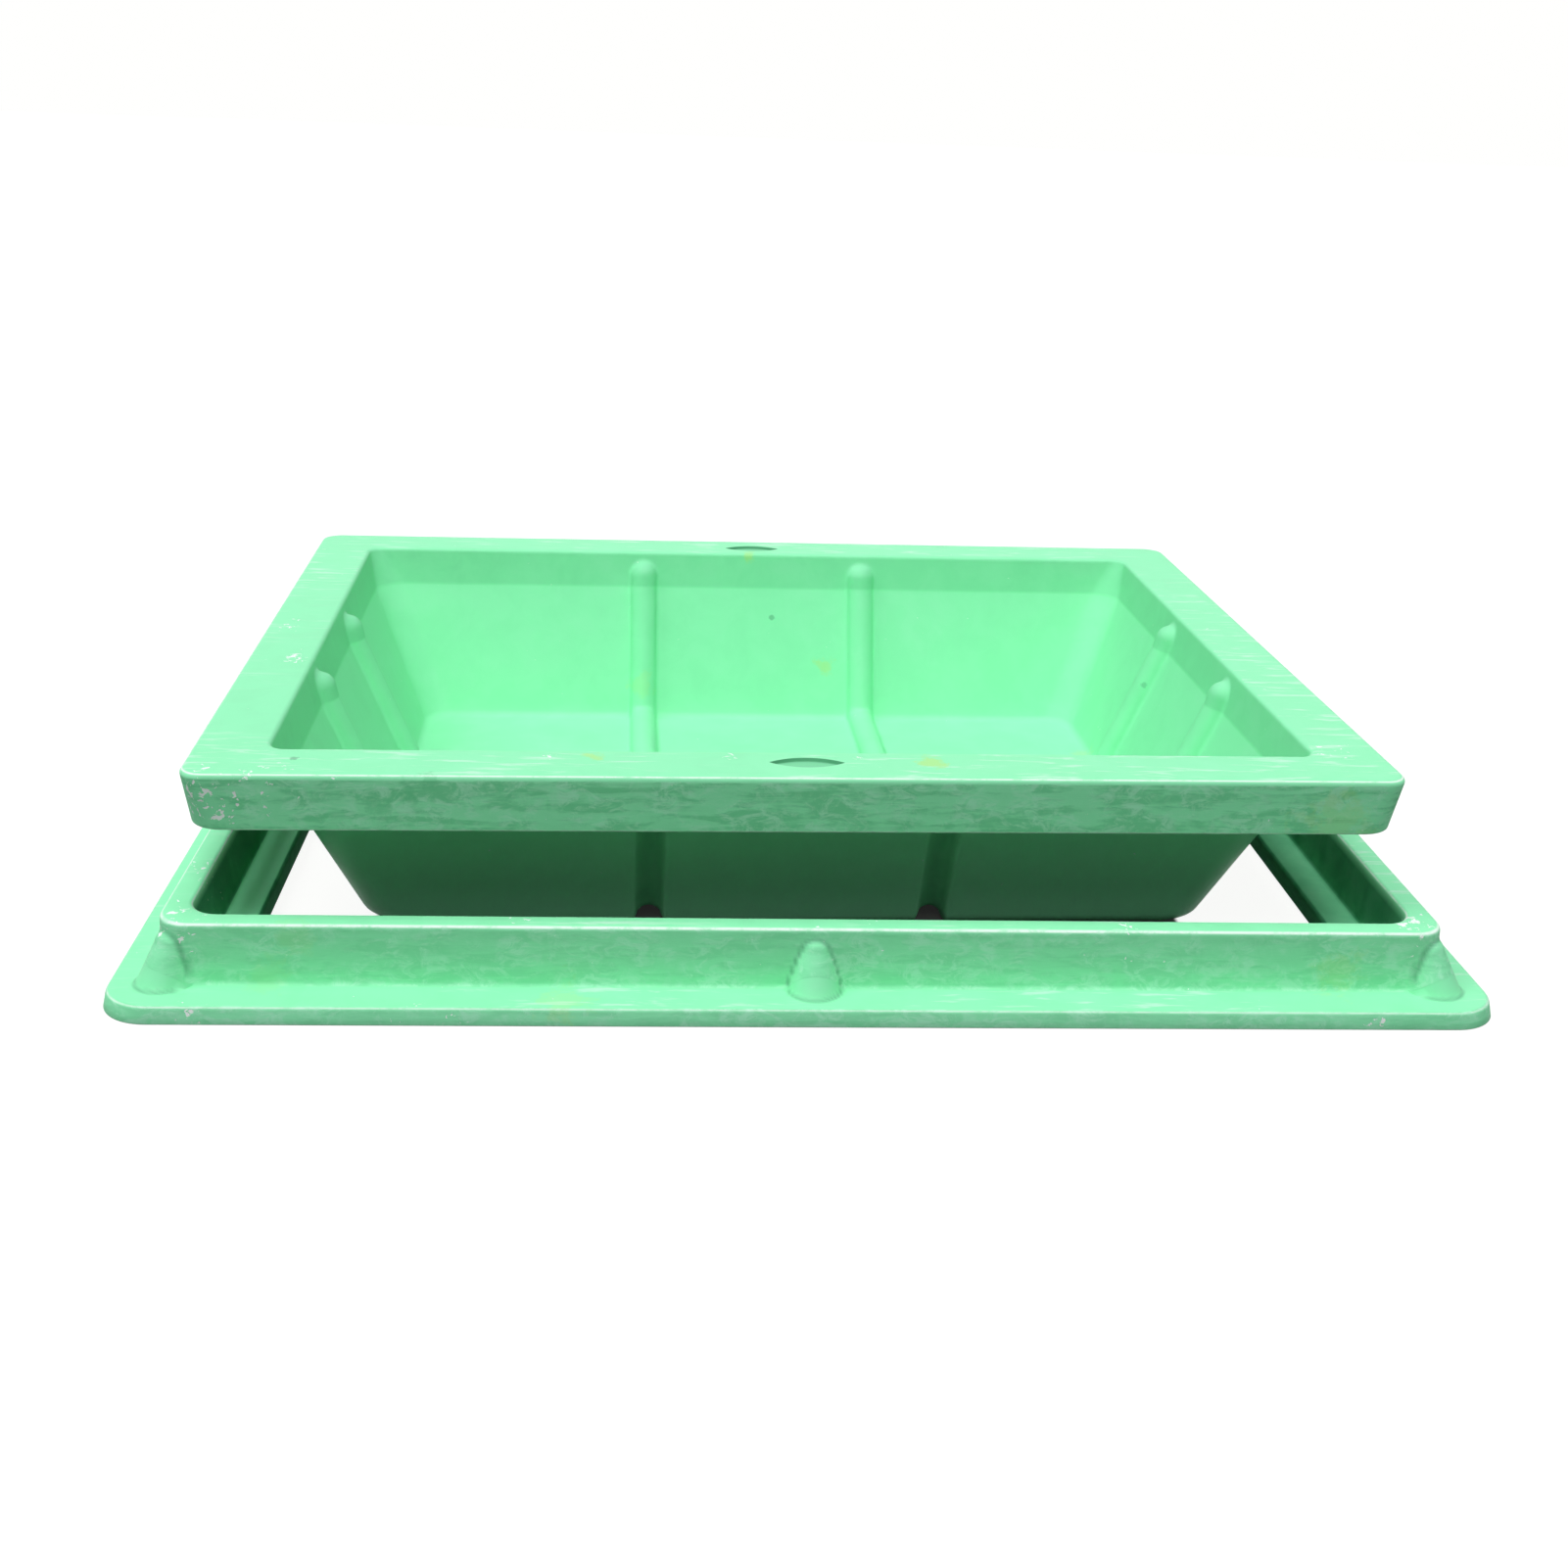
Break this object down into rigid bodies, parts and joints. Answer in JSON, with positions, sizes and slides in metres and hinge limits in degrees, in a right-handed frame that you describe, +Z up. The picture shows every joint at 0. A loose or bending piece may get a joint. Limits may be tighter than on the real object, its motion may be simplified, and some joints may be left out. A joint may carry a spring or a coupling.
{
  "type": "septic tank cover",
  "caption": "Dished glass-fibre manhole cover for a septic tank, with a ribbed basin for filling, lifted out of its stepped seating frame.",
  "frame": {"origin": "centre of the frame's footprint, on the ground", "axes": "+X along the long side to the right, +Y towards the back, +Z up"},
  "size_m": [0.854, 0.704, 0.14],
  "materials": {
    "moulding": "semi-gloss light green moulded glass fibre with a streaky surface, scuffs and small chips"
  },
  "bodies": {
    "root": {"cover_pan": "moulding", "frame": "moulding"}
  },
  "joints": []
}
